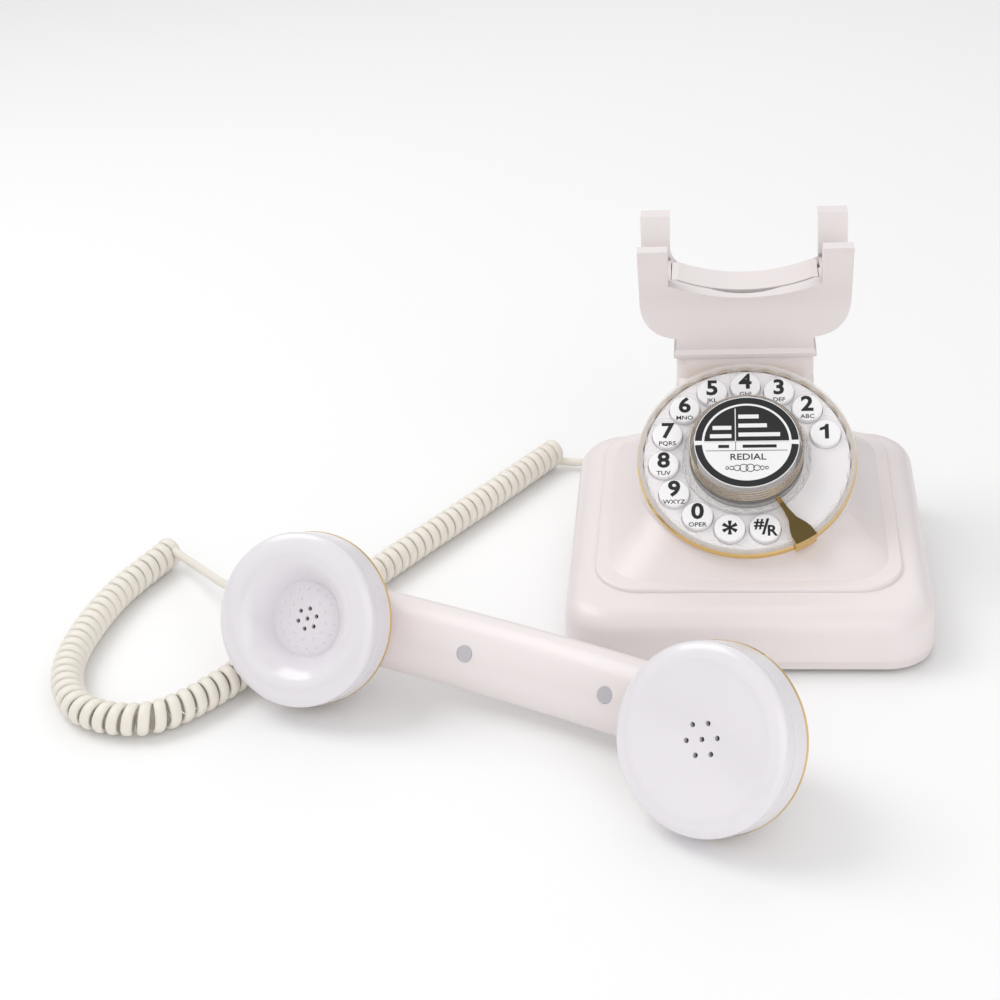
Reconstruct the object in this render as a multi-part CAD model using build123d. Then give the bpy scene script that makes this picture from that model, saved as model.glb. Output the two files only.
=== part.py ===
"""French-style cradle telephone with push buttons laid out like a rotary dial.

Frame: origin at the centre of the base's footprint on the table, +X to the caller's right,
+Y towards the back of the phone, +Z up.  Millimetres.  The phone is off the hook: the handset
lies on the table in front and to the left, joined to the base by its coiled cord.
"""
from math import cos, radians, sin, tan
import os

from build123d import *

# --- base ---------------------------------------------------------------------------------
BASE_WIDTH = 136.0
BASE_DEPTH = 134.0
BASE_CORNER = 19.0
WALL = 2.4
FOOT_DIAMETER = 12.0
FOOT_HEIGHT = 1.6
FOOT_INSET = 17.0
PARTING_Z = 5.2
SKIRT_DRAFT = 1.5
SHOULDER_RADIUS = 9.0
LEDGE_FRONT_Y = -52.0
LEDGE_FRONT_Z = 24.5
LEDGE_TILT = 6.0
PANEL_HALF = 57.0
PANEL_FRONT = 1.5
PANEL_REAR = 112.5
PANEL_STEP = 1.6
PANEL_CORNER = 17.0
NECK_HALF = 26.6
NECK_FRONT_Y = 27.8
NECK_REAR_Y = 60.0
NECK_TOP_Z = 84.9
NECK_CORNER = 5.0
SWEEP_HEIGHTS = (0, 3, 7, 12, 18, 25, 33, 40, 45)
SWEEP_POWER = 3

# --- dial ---------------------------------------------------------------------------------
DIAL_CENTRE = (0.0, -7.9, 59.1)
DIAL_SLOPE = 33.8
FACE_DROP = 3.8
RING_RADIUS = 41.3
RING_BORE = 39.2
BOSS_RADIUS = 41.1
BOSS_DEPTH = 15.2
CUP_RADIUS = 39.0
CUP_WALL = 1.2
CUP_DEPTH = 13.0
DIAL_PLATE_RADIUS = 38.7
WHEEL_RADIUS = 40.9
WHEEL_TOP = 1.7
WHEEL_GAP = 0.1
PLATE_TOP = -FACE_DROP + 2.5
BUTTON_CIRCLE = 31.3
BUTTON_STEP = 24.0
BUTTON_RADIUS = 5.75
BUTTON_HOLE_RADIUS = 6.0
WHEEL_HOLE_RADIUS = 6.2
BUTTON_NAMES = ("1", "2", "3", "4", "5", "6", "7", "8", "9", "0", "star", "hash")
FIRST_BUTTON_ANGLE = 72.0
HUB_RADIUS = 21.1
HUB_FLANGE_RADIUS = 24.3
LABEL_RADIUS = 19.6
LABEL_HEIGHT = 11.4
STOP_ANGLE = 149.5

# --- cradle -------------------------------------------------------------------------------
WING_HALF = 40.2
WING_BOTTOM_Z = 92.6
WING_TOP_Z = 107.5
HORN_TOP_Z = 131.0
HORN_INNER = 29.0
HORN_LEAN = 7.5
FRONT_U_Z = 109.7
REAR_U_Z = 106.8
GRIP_GAP_HALF = 12.0
CRADLE_MID_Y = 44.0
SADDLE_HALF_WIDTH = 28.0
SADDLE_HALF_DEPTH = 9.6
SADDLE_TOP_Z = 110.1
SADDLE_THICKNESS = 3.2
SADDLE_TRAVEL = 4.5
SAG_SPAN = 25.5
SAG = 4.6
STEM_RADIUS = 3.0

# --- handset ------------------------------------------------------------------------------
RECEIVER_RIM = (-17.5, -159.2, 34.8)
TRANSMITTER_RIM = (-160.2, -90.3, 37.2)
FACE_AZIMUTH = 28.8
FACE_ELEVATION = 27.0
TOE_IN = 6.5
CAP_RADIUS = 31.2
CAP_DEPTH = 13.4
BOWL_FLOOR_Z = -9.5
BOWL_FLOOR_RADIUS = 13.6
BOWL_WALL = 1.7
DIMPLE_RINGS = ((12, 7.6), (18, 11.2))
TRIM_DEPTH = 1.1
GROOVE_DEPTH = 4.7
COLLAR_RADIUS = 28.3
HEAD_WALL = 2.2
GRIP_HALF_WIDTH = 14.1
GRIP_HALF_THICK = 8.6
GRIP_LEVEL = -31.0
GRIP_ARCH = 8.0
HEAD_CROWN = -44.0
PLUG_RADIUS = 3.0
PLUG_SPREAD = 28.4
PLUG_SHIFT = 3.1

# --- cord ---------------------------------------------------------------------------------
COIL_RADIUS = 6.2
LEAD_RADIUS = 1.8
CORD_Z = 6.4
BASE_JACK = (-34.0, 63.0, 17.0)
SWITCH_X = 9.0
SWITCH_Z = 14.0


# ------------------------------------------------------------------------------------------
# shared frames and helpers
# ------------------------------------------------------------------------------------------
dial_plane = Plane(
    origin=DIAL_CENTRE,
    x_dir=(1, 0, 0),
    z_dir=(0, -sin(radians(DIAL_SLOPE)), cos(radians(DIAL_SLOPE))),
)
ledge_plane = Plane(
    origin=(0, LEDGE_FRONT_Y, LEDGE_FRONT_Z),
    x_dir=(1, 0, 0),
    z_dir=(0, -sin(radians(LEDGE_TILT)), cos(radians(LEDGE_TILT))),
)


def face_normal(azimuth):
    """Direction a handset cap faces, for a heading measured from -Y towards -X."""
    flat = cos(radians(FACE_ELEVATION))
    return Vector(
        -sin(radians(azimuth)) * flat,
        -cos(radians(azimuth)) * flat,
        sin(radians(FACE_ELEVATION)),
    )


def handset_plane():
    """Frame of the handset: middle of the rims, +X to the earpiece, +Z out of the faces."""
    receiver = Vector(*RECEIVER_RIM)
    transmitter = Vector(*TRANSMITTER_RIM)
    along = (receiver - transmitter).normalized()
    normal = face_normal(FACE_AZIMUTH)
    normal = (normal - along * normal.dot(along)).normalized()
    return Plane(origin=(receiver + transmitter) * 0.5, x_dir=along, z_dir=normal)


HANDSET = handset_plane()
HALF_SPAN = (Vector(*RECEIVER_RIM) - Vector(*TRANSMITTER_RIM)).length / 2
HEEL_X = -HALF_SPAN - CAP_RADIUS + 4
HEEL_LEVEL = -23.5


def on_dial(shape):
    """Move a shape drawn about the dial's axis onto the sloping face."""
    return dial_plane.location * shape


def on_handset(shape):
    """Move a shape drawn in the handset's own frame to where the handset lies."""
    return HANDSET.location * shape


def head_place(side):
    """Frame of a head inside the handset: side is -1 for the mouthpiece, +1 for the earpiece."""
    return Pos(side * HALF_SPAN, 0, 0) * Rot(0, -side * TOE_IN, 0)


def disc(radius, low, high):
    """Upright cylinder between two heights."""
    return Pos(0, 0, (low + high) / 2) * Cylinder(radius, high - low)


def ring(outer, inner, low, high):
    """Upright tube between two heights."""
    return disc(outer, low, high) - disc(inner, low - 1, high + 1)


def block(x_low, x_high, y_low, y_high, z_low, z_high):
    """Box given by its limits."""
    middle = Pos((x_low + x_high) / 2, (y_low + y_high) / 2, (z_low + z_high) / 2)
    return middle * Box(x_high - x_low, y_high - y_low, z_high - z_low)


def rounded_slab(width, depth, corner, low, high, taper=0):
    """Upright rounded rectangle between two heights."""
    return extrude(Pos(0, 0, low) * RectangleRounded(width, depth, corner), high - low, taper=taper)


def spin(points):
    """Solid of revolution from (radius, height) corners joined by straight lines."""
    outline = Polyline([(r, 0, z) for r, z in points], close=True)
    return revolve(make_face(outline), Axis.Z)


def around(radius, angle):
    """Place on a circle, at an angle measured clockwise from the top of the dial."""
    return Pos(radius * sin(radians(angle)), radius * cos(radians(angle)), 0)


def button_angle(index):
    """Clockwise angle of a push button: 1 is at the upper right and the numbers run backwards."""
    return FIRST_BUTTON_ANGLE - index * BUTTON_STEP


def corner_places(inset):
    """The four corner points of the base, set in from its sides."""
    half_x = BASE_WIDTH / 2 - inset
    half_y = BASE_DEPTH / 2 - inset
    return [(x, y) for x in (-half_x, half_x) for y in (-half_y, half_y)]


def countersunk_screw(radius, length):
    """Small self-tapping screw, head upwards at height 0, with a cross recess."""
    head = radius * 1.9
    under_head = -radius * 1.1
    tip = -length - radius
    body = spin([(0, 0), (head, 0), (head, -0.6), (radius, under_head), (radius, -length), (0, tip)])
    slot = Box(head * 1.2, 0.6, 1.2) + Box(0.6, head * 1.2, 1.2)
    return body - slot


# ------------------------------------------------------------------------------------------
# base
# ------------------------------------------------------------------------------------------
def skirt_form(inset):
    """Wedge-topped plinth with a rounded shoulder."""
    plinth = rounded_slab(
        BASE_WIDTH - 2 * inset,
        BASE_DEPTH - 2 * inset,
        BASE_CORNER - inset,
        PARTING_Z,
        60,
        taper=SKIRT_DRAFT,
    )
    above = ledge_plane.location * block(-100, 100, -60, 180, -inset, 80)
    plinth = plinth - above
    top = plinth.faces().sort_by(Axis.Z)[-1]
    return fillet(top.edges(), SHOULDER_RADIUS - inset)


def sweep_section(height, inset):
    """Outline of the rising body at a height above the ledge."""
    share = 1 - height / SWEEP_HEIGHTS[-1]
    half = NECK_HALF + (PANEL_HALF - 2 - NECK_HALF) * share**SWEEP_POWER - inset
    front = PANEL_FRONT + 1.8 + height / tan(radians(DIAL_SLOPE - LEDGE_TILT)) + inset * 1.9
    rear = PANEL_REAR - 2 - 0.09 * height - inset
    corner = 6 + (PANEL_CORNER - 6) * share - min(inset, 2)
    outline = Pos(0, (front + rear) / 2, height) * RectangleRounded(2 * half, rear - front, corner)
    return ledge_plane.location * outline


def rising_form(inset):
    """Raised panel that sweeps up from the ledge to the neck, with a flat front slope."""
    depth = PANEL_REAR - PANEL_FRONT
    step = rounded_slab(2 * (PANEL_HALF - inset), depth - 2 * inset, PANEL_CORNER - inset, -4, PANEL_STEP)
    step = fillet(step.faces().sort_by(Axis.Z)[-1].edges(), 1.2)
    step = ledge_plane.location * Pos(0, PANEL_FRONT + depth / 2, -inset) * step
    sweep = loft([sweep_section(h, inset) for h in SWEEP_HEIGHTS])
    neck = Pos(0, (NECK_FRONT_Y + NECK_REAR_Y) / 2, 0) * rounded_slab(
        2 * (NECK_HALF - inset),
        NECK_REAR_Y - NECK_FRONT_Y - 2 * inset,
        NECK_CORNER - inset,
        50,
        NECK_TOP_Z,
    )
    return step + sweep + neck


def base_shell():
    """Upper moulding: plinth, sweep, neck stub and the round seat of the dial."""
    outer = skirt_form(0) + rising_form(0) + on_dial(disc(BOSS_RADIUS, -BOSS_DEPTH, -FACE_DROP))
    outer = outer - block(-60, 60, -60, 80, NECK_TOP_Z, 120)
    inner = skirt_form(WALL) + rising_form(WALL)
    neck_half = NECK_HALF - WALL
    inner = inner + block(-neck_half, neck_half, NECK_FRONT_Y + WALL, NECK_REAR_Y - WALL, 70, 90)
    dial_seat = disc(CUP_RADIUS + 0.15, -CUP_DEPTH - 0.1, 5) + disc(RING_RADIUS + 0.15, -FACE_DROP, 5)
    shell = outer - inner - on_dial(dial_seat)
    for x, y in corner_places(FOOT_INSET):
        post = disc(4.0, PARTING_Z + 0.1, NECK_TOP_Z) - disc(1.1, 0, 20)
        shell = shell + (Pos(x, y, 0) * post & outer)
    jack_opening = block(BASE_JACK[0] - 6, BASE_JACK[0] + 6, 55, 75, BASE_JACK[2] - 5, BASE_JACK[2] + 5)
    line_opening = block(22, 36, 55, 75, 11, 22)
    for side in (-1, 1):
        middle = side * SWITCH_X
        shell = shell - block(middle - 5.5, middle + 5.5, 60, 75, SWITCH_Z - 2.5, SWITCH_Z + 2.5)
    return shell - jack_opening - line_opening


def base_plate():
    """Bottom tray with a rim, foot seats, posts for the board and sound slots."""
    tray = rounded_slab(BASE_WIDTH - 1.6, BASE_DEPTH - 1.6, BASE_CORNER - 0.8, FOOT_HEIGHT, PARTING_Z)
    floor_z = FOOT_HEIGHT + 2
    tray = tray - rounded_slab(BASE_WIDTH - 12, BASE_DEPTH - 12, BASE_CORNER - 6, floor_z, PARTING_Z + 1)
    for x, y in corner_places(FOOT_INSET):
        tray = tray + Pos(x, y, 0) * disc(7.5, FOOT_HEIGHT + 0.5, PARTING_Z)
    for x in (-30, 30):
        for y in (-12, 38):
            tray = tray + Pos(x, y, 0) * disc(3.2, FOOT_HEIGHT + 1, 12.0)
    for x, y in corner_places(FOOT_INSET):
        tray = tray - Pos(x, y, 0) * disc(FOOT_DIAMETER / 2 + 0.1, 0, FOOT_HEIGHT + 0.8)
        tray = tray - Pos(x, y, 0) * disc(2.8, 0, FOOT_HEIGHT + 2.3)
        tray = tray - Pos(x, y, 0) * disc(1.6, 0, 10)
    for row in range(5):
        tray = tray - block(21, 43, -42.3 + row * 4, -40.7 + row * 4, 0, 10)
    for x in (-30, 30):
        for y in (-12, 38):
            tray = tray - Pos(x, y, 0) * disc(1.1, 4, 14)
    return tray


def rubber_feet():
    """Four round pads let into the tray, each hiding a screw."""
    pads = []
    for x, y in corner_places(FOOT_INSET):
        pad = disc(FOOT_DIAMETER / 2, 0, FOOT_HEIGHT + 0.8)
        pad = fillet(pad.faces().sort_by(Axis.Z)[0].edges(), 0.5)
        pads.append(Pos(x, y, 0) * pad)
    return pads


def plate_screws():
    """Four screws driven up through the tray into the shell's posts."""
    screws = []
    for x, y in corner_places(FOOT_INSET):
        low = FOOT_HEIGHT + 0.9
        screw = disc(2.6, low, FOOT_HEIGHT + 2.3) + disc(1.05, low, 16)
        recess = Pos(0, 0, low) * (Box(3.4, 0.6, 1.2) + Box(0.6, 3.4, 1.2))
        screws.append(Pos(x, y, 0) * (screw - recess))
    return screws


def ballast_weight():
    """Steel bar that stops the light base sliding when a button is pressed."""
    bar = block(-40, 14, -52, -26, FOOT_HEIGHT + 2, FOOT_HEIGHT + 10)
    return fillet(bar.edges().filter_by(Axis.Z), 3)


def main_board():
    """Circuit board on four posts with its larger components."""
    board = block(-40, 40, -18, 44, 12.0, 13.6)
    for x in (-30, 30):
        for y in (-12, 38):
            board = board - Pos(x, y, 0) * disc(1.5, 10, 16)
    board = board + block(-18, -4, 0, 16, 13.6, 16.2)
    for index in range(4):
        board = board + Pos(6 + index * 8, 6, 0) * disc(2.5, 13.6, 21)
    board = board + block(4, 30, 20, 26, 13.6, 18.5)
    return board


def board_screws():
    """Four screws holding the circuit board to the tray's posts."""
    return [Pos(x, y, 15.6) * countersunk_screw(1.0, 6) for x in (-30, 30) for y in (-12, 38)]


def ringer_speaker():
    """Small loudspeaker over the sound slots in the tray."""
    place = Pos(32, -33.5, 0)
    body = place * spin([(0, 3.7), (15, 3.7), (15, 5.2), (9, 9.5), (9, 12), (0, 12)])
    return body - place * disc(6, 11, 13)


def line_jack():
    """Socket for the wall line, let into the rear wall."""
    body = block(22.2, 35.8, 53, 67.4, 11.2, 21.8)
    body = body - block(25, 33, 57, 70, 13.4, 19.4)
    return body - block(27.5, 30.5, 57, 70, 12.2, 14)


def handset_jack():
    """Socket for the coiled cord, let into the rear wall."""
    x, _, z = BASE_JACK
    body = block(x - 5.8, x + 5.8, 53, 67.4, z - 4.8, z + 4.8)
    return body - block(x - 3.6, x + 3.6, 57, 70, z - 3.1, z + 3.1)


def slide_switch_housing(side):
    """Slide-switch body behind a slot in the rear wall."""
    middle = side * SWITCH_X
    body = block(middle - 7.5, middle + 7.5, 57, 64.2, SWITCH_Z - 5, SWITCH_Z + 5)
    return body - block(middle - 5, middle + 5, 60.5, 70, SWITCH_Z - 2, SWITCH_Z + 2)


def slide_switch_knob(side):
    """Ribbed thumb-piece of a rear slide switch."""
    middle = side * SWITCH_X
    outer = BASE_DEPTH / 2 + 1.2
    knob = block(middle - 2, middle + 2, 60.8, outer, SWITCH_Z - 1.7, SWITCH_Z + 1.7)
    for offset in (-1.2, 0, 1.2):
        rib_gap = middle + offset
        groove = block(rib_gap - 0.2, rib_gap + 0.2, outer - 0.6, outer + 1, SWITCH_Z - 2, SWITCH_Z + 2)
        knob = knob - groove
    return knob


# ------------------------------------------------------------------------------------------
# dial
# ------------------------------------------------------------------------------------------
def dial_cup():
    """Tub let into the round boss; its rim carries the dial plate."""
    tub = disc(CUP_RADIUS, -CUP_DEPTH, -FACE_DROP + 1) - disc(CUP_RADIUS - CUP_WALL, -CUP_DEPTH + 1.2, 0)
    cable_hole = Pos(0, -20, 0) * disc(4, -CUP_DEPTH - 1, -CUP_DEPTH + 3)
    return on_dial(tub - cable_hole)


def keypad_board():
    """Round circuit board with the switch contacts."""
    board = disc(CUP_RADIUS - CUP_WALL - 0.2, -CUP_DEPTH + 1.2, -CUP_DEPTH + 2.8)
    return on_dial(board - Pos(0, -20, 0) * disc(4, -CUP_DEPTH, -8))


def keypad_mat():
    """Rubber sheet over the contacts, with a low dome under every button."""
    low = -CUP_DEPTH + 2.8
    mat = disc(CUP_RADIUS - CUP_WALL - 0.4, low, low + 1.6)
    for index in range(12):
        mat = mat + around(BUTTON_CIRCLE - 1.5, button_angle(index)) * disc(3.2, low + 1.6, low + 3.2)
    return on_dial(mat + disc(7, low + 1.6, low + 3.2))


def dial_plate():
    """White face of the dial with a round hole for every button and one for the hub."""
    low = -FACE_DROP + 1
    plate = disc(DIAL_PLATE_RADIUS, low, low + 1.5)
    for index in range(12):
        plate = plate - around(BUTTON_CIRCLE, button_angle(index)) * disc(BUTTON_HOLE_RADIUS, low - 1, 2)
    return on_dial(plate - disc(HUB_RADIUS + 0.3, low - 1, 2))


def finger_wheel():
    """Clear scalloped wheel over the plate and the bezel, with raised rims round its finger holes."""
    low = PLATE_TOP + WHEEL_GAP
    wheel = disc(WHEEL_RADIUS, -0.9, WHEEL_TOP - 0.5) + disc(RING_BORE - 0.3, low, 0)
    for index in range(12):
        place = around(BUTTON_CIRCLE, button_angle(index))
        wheel = wheel + place * disc(WHEEL_HOLE_RADIUS + 0.8, low, WHEEL_TOP)
    for index in range(12):
        wheel = wheel - around(BUTTON_CIRCLE, button_angle(index)) * disc(WHEEL_HOLE_RADIUS, low - 1, 3)
    return on_dial(wheel - disc(HUB_FLANGE_RADIUS + 0.3, low - 1, 3))


def hub_collar():
    """Clear fixed collar round the hub, over the inner edge of the dial plate."""
    low = PLATE_TOP + WHEEL_GAP
    collar = spin([
        (HUB_RADIUS + 0.3, low),
        (HUB_FLANGE_RADIUS + 0.2, low),
        (HUB_FLANGE_RADIUS + 0.2, WHEEL_TOP - 0.7),
        (HUB_FLANGE_RADIUS - 0.6, WHEEL_TOP),
        (HUB_RADIUS + 0.3, WHEEL_TOP),
    ])
    return on_dial(collar)


def push_button(index):
    """One number button: round cap above the plate and a wider flange under it."""
    plate_low = -FACE_DROP + 1
    cap = disc(BUTTON_RADIUS, plate_low - 1.4, 0.9)
    cap = fillet(cap.faces().sort_by(Axis.Z)[-1].edges(), 0.6)
    flange = disc(BUTTON_RADIUS + 0.55, plate_low - 1.4, plate_low - 0.1)
    stem = Pos(0, -1.5, 0) * disc(1.8, plate_low - 2.2, plate_low - 1.4)
    angle = button_angle(index)
    return on_dial(around(BUTTON_CIRCLE, angle) * Rot(0, 0, -angle) * (cap + flange + stem))


def redial_button():
    """Raised centre hub, a hollow clear drum that is pressed as one piece."""
    drum = disc(HUB_RADIUS, -1.0, LABEL_HEIGHT)
    drum = chamfer(drum.faces().sort_by(Axis.Z)[-1].edges(), 0.8)
    drum = drum - disc(HUB_RADIUS - 2.4, -2, LABEL_HEIGHT - 2.2)
    return on_dial(drum - disc(LABEL_RADIUS, LABEL_HEIGHT - 0.6, LABEL_HEIGHT + 1))


def label_card():
    """Printed card in the hub's shallow recess."""
    return on_dial(disc(LABEL_RADIUS - 0.1, LABEL_HEIGHT - 0.6, LABEL_HEIGHT - 0.1))


def hub_plunger():
    """White core of the hub that reaches the centre contact through the plate."""
    shoulder = disc(HUB_RADIUS - 2.5, -1.0, 0.6)
    stalk = disc(6, -5.4, -1.0)
    top = disc(8, 0.6, LABEL_HEIGHT - 2.2)
    return on_dial(shoulder + stalk + top)


def dial_bezel():
    """Bright outer ring that clamps the dial plate to the boss, under the edge of the clear wheel."""
    profile = [
        (RING_BORE, -FACE_DROP),
        (RING_RADIUS, -FACE_DROP),
        (RING_RADIUS, -1.6),
        (RING_RADIUS - 0.4, -0.95),
        (RING_BORE, -0.95),
    ]
    return on_dial(spin(profile))


def finger_stop():
    """Bright pointed stop that reaches in over the wheel and hooks down over the bezel."""
    low = WHEEL_TOP + 0.15
    high = low + 0.9
    right_side = [(0.8, 21.9), (1.0, 28.0), (1.7, 32.5), (3.4, 36.0), (4.2, 38.5), (4.4, 43.0)]
    left_side = [(-x, y) for x, y in reversed(right_side)]
    plate = extrude(Pos(0, 0, low) * make_face(Polyline(right_side + left_side, close=True)), high - low)
    plate = plate & disc(RING_RADIUS + 1.2, low - 1, high + 1)
    hook = block(-4.4, 4.4, 38, 44, -FACE_DROP + 0.2, low + 0.1)
    hook = hook & ring(RING_RADIUS + 1.2, RING_RADIUS + 0.05, -6, 6)
    return on_dial(Rot(0, 0, -STOP_ANGLE) * (plate + hook))


# ------------------------------------------------------------------------------------------
# cradle
# ------------------------------------------------------------------------------------------
def cradle_silhouette():
    """Front view of the cradle as a face in the XZ plane."""
    with BuildSketch(Plane.XZ) as sketch:
        with BuildLine():
            Polyline(
                (0, NECK_TOP_Z),
                (NECK_HALF + 0.9, NECK_TOP_Z),
                (NECK_HALF + 0.9, NECK_TOP_Z + 1.4),
                (NECK_HALF - 0.3, NECK_TOP_Z + 3.2),
                (NECK_HALF - 0.3, WING_BOTTOM_Z),
            )
            Spline(
                (NECK_HALF - 0.3, WING_BOTTOM_Z),
                (WING_HALF - 2.6, WING_BOTTOM_Z + 6.0),
                (WING_HALF, WING_TOP_Z),
                tangents=((1, 0.12), (0.05, 1)),
            )
            Polyline((WING_HALF, WING_TOP_Z), (WING_HALF + 0.2, HORN_TOP_Z), (0, HORN_TOP_Z), (0, NECK_TOP_Z))
        make_face()
        mirror(about=Plane.YZ)
    return sketch.sketch


def cradle_side_outline():
    """Side view of the cradle: straight neck, then front and rear faces leaning outwards."""
    front = NECK_FRONT_Y
    rear = NECK_REAR_Y
    with BuildSketch(Plane.YZ) as sketch:
        with BuildLine():
            Polyline(
                (front, WING_TOP_Z - 4),
                (front, NECK_TOP_Z + 3.2),
                (front - 0.9, NECK_TOP_Z + 1.4),
                (front - 0.9, NECK_TOP_Z),
                (rear + 0.9, NECK_TOP_Z),
                (rear + 0.9, NECK_TOP_Z + 1.4),
                (rear, NECK_TOP_Z + 3.2),
                (rear, WING_TOP_Z - 4),
            )
            Spline(
                (rear, WING_TOP_Z - 4),
                (rear + HORN_LEAN * 0.45, WING_TOP_Z + 9),
                (rear + HORN_LEAN + 1.5, HORN_TOP_Z),
                tangents=((0, 1), (0.45, 1)),
            )
            Line((rear + HORN_LEAN + 1.5, HORN_TOP_Z), (front - HORN_LEAN, HORN_TOP_Z))
            Spline(
                (front - HORN_LEAN, HORN_TOP_Z),
                (front - HORN_LEAN * 0.45, WING_TOP_Z + 9),
                (front, WING_TOP_Z - 4),
                tangents=((0.45, -1), (0, -1)),
            )
        make_face()
    return sketch.sketch


def notch_profile(bottom_z, corner):
    """Wide shallow U between the left and right horns, drawn in the XZ plane."""
    end_z = bottom_z + SAG * (HORN_INNER / SAG_SPAN) ** 2
    with BuildSketch(Plane.XZ) as sketch:
        with BuildLine():
            ThreePointArc((-HORN_INNER, end_z), (0, bottom_z), (HORN_INNER, end_z))
            Polyline(
                (HORN_INNER, end_z),
                (HORN_INNER, HORN_TOP_Z + 5),
                (-HORN_INNER, HORN_TOP_Z + 5),
                (-HORN_INNER, end_z),
            )
        make_face()
        fillet(sketch.vertices().sort_by(Axis.Z)[:2], corner)
    return sketch.sketch


def above_trough(bottom_z):
    """Everything above a trough floor that sags in the middle and is level beyond the horns."""
    end_z = bottom_z + SAG
    with BuildSketch(Plane.XZ) as sketch:
        with BuildLine():
            ThreePointArc((-SAG_SPAN, end_z), (0, bottom_z), (SAG_SPAN, end_z))
            Polyline((SAG_SPAN, end_z), (60, end_z), (60, 160), (-60, 160), (-60, end_z), (-SAG_SPAN, end_z))
        make_face()
    return extrude(sketch.sketch, 100, both=True)


def grip_channel():
    """Trough for the handset's grip, wider between the horn tips."""
    spread = HORN_LEAN * 0.9
    low = SADDLE_TOP_Z - 10
    straight = SADDLE_TOP_Z + 6
    top = HORN_TOP_Z + 5
    with BuildSketch(Plane.YZ) as sketch:
        with BuildLine():
            Polyline(
                (CRADLE_MID_Y - GRIP_GAP_HALF, low),
                (CRADLE_MID_Y + GRIP_GAP_HALF, low),
                (CRADLE_MID_Y + GRIP_GAP_HALF, straight),
                (CRADLE_MID_Y + GRIP_GAP_HALF + spread, top),
                (CRADLE_MID_Y - GRIP_GAP_HALF - spread, top),
                (CRADLE_MID_Y - GRIP_GAP_HALF, straight),
                close=True,
            )
        make_face()
    return extrude(sketch.sketch, 60, both=True) & above_trough(SADDLE_TOP_Z)


def saddle_slit():
    """Narrow gap in front of the saddle, widest in the middle of the front wall."""
    rear = CRADLE_MID_Y - SADDLE_HALF_DEPTH
    with BuildSketch(Plane.XY.offset(WING_BOTTOM_Z)) as sketch:
        with BuildLine():
            ThreePointArc((-14.5, rear), (0, rear - 3.0), (14.5, rear))
            Line((14.5, rear), (-14.5, rear))
        make_face()
    return extrude(sketch.sketch, 40)


def cradle_housing():
    """Neck, wings and four horns in one moulding, with the pocket of the hook saddle."""
    front_view = extrude(cradle_silhouette(), 100, both=True)
    side_view = extrude(cradle_side_outline(), 60, both=True)
    body = front_view & side_view
    front_half = block(-50, 50, 0, CRADLE_MID_Y, 90, 160)
    rear_half = block(-50, 50, CRADLE_MID_Y, 90, 90, 160)
    body = body - (extrude(notch_profile(FRONT_U_Z, 4.0), 100, both=True) & front_half)
    body = body - (extrude(notch_profile(REAR_U_Z, 7.0), 100, both=True) & rear_half)
    body = body - grip_channel()
    body = body - block(
        -NECK_HALF + WALL,
        NECK_HALF - WALL,
        NECK_FRONT_Y + WALL,
        NECK_REAR_Y - WALL,
        NECK_TOP_Z - 1,
        WING_BOTTOM_Z + 7,
    )
    pocket_half = SADDLE_HALF_DEPTH + 0.4
    pocket_floor = SADDLE_TOP_Z - SADDLE_THICKNESS - SADDLE_TRAVEL - 0.5
    pocket_low = CRADLE_MID_Y - pocket_half
    pocket_high = CRADLE_MID_Y + pocket_half
    half_width = SADDLE_HALF_WIDTH + 0.25
    body = body - block(-half_width, half_width, pocket_low, pocket_high, pocket_floor, HORN_TOP_Z)
    body = body - block(-20, 20, pocket_low, pocket_high, WING_BOTTOM_Z, HORN_TOP_Z)
    rib = block(-0.6, 0.6, pocket_low - 2.8, pocket_low - 0.1, WING_BOTTOM_Z, FRONT_U_Z - 2)
    return body - saddle_slit() + rib


def hook_bracket():
    """Bridge across the neck that carries the hook switch and guides the saddle's stem."""
    bridge = block(-NECK_HALF + WALL + 0.05, NECK_HALF - WALL - 0.05, 38, 50, 80, 82)
    return bridge - Pos(0, CRADLE_MID_Y, 0) * disc(STEM_RADIUS + 0.3, 70, 90)


def hook_switch():
    """Switch hung under the bridge; the saddle's stem works its lever."""
    return block(6, 18, 40, 48, 70, 79.98) + block(8, 16, 48, 50, 72, 76)


def hook_saddle():
    """Moving plate that sags with the trough, on a stem down through the neck."""
    low = SADDLE_TOP_Z - SADDLE_THICKNESS
    front = CRADLE_MID_Y - SADDLE_HALF_DEPTH
    rear = CRADLE_MID_Y + SADDLE_HALF_DEPTH
    plate = block(-SADDLE_HALF_WIDTH, SADDLE_HALF_WIDTH, front, rear, low, HORN_TOP_Z)
    plate = (plate & above_trough(low)) - above_trough(SADDLE_TOP_Z)
    stem = Pos(0, CRADLE_MID_Y, 0) * disc(STEM_RADIUS, 76, low + 1)
    return plate + stem


def hook_spring():
    """Compression spring round the stem, between the bridge and the saddle."""
    low = 82.4
    high = SADDLE_TOP_Z - SADDLE_THICKNESS - 0.4
    turns = 5
    coil = Helix(pitch=(high - low) / turns, height=high - low, radius=STEM_RADIUS + 1.6)
    path = Pos(0, CRADLE_MID_Y, low) * coil
    start = path @ 0
    wire = Plane(origin=start, z_dir=path % 0) * Circle(0.4)
    return sweep(wire, path=path)


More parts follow.
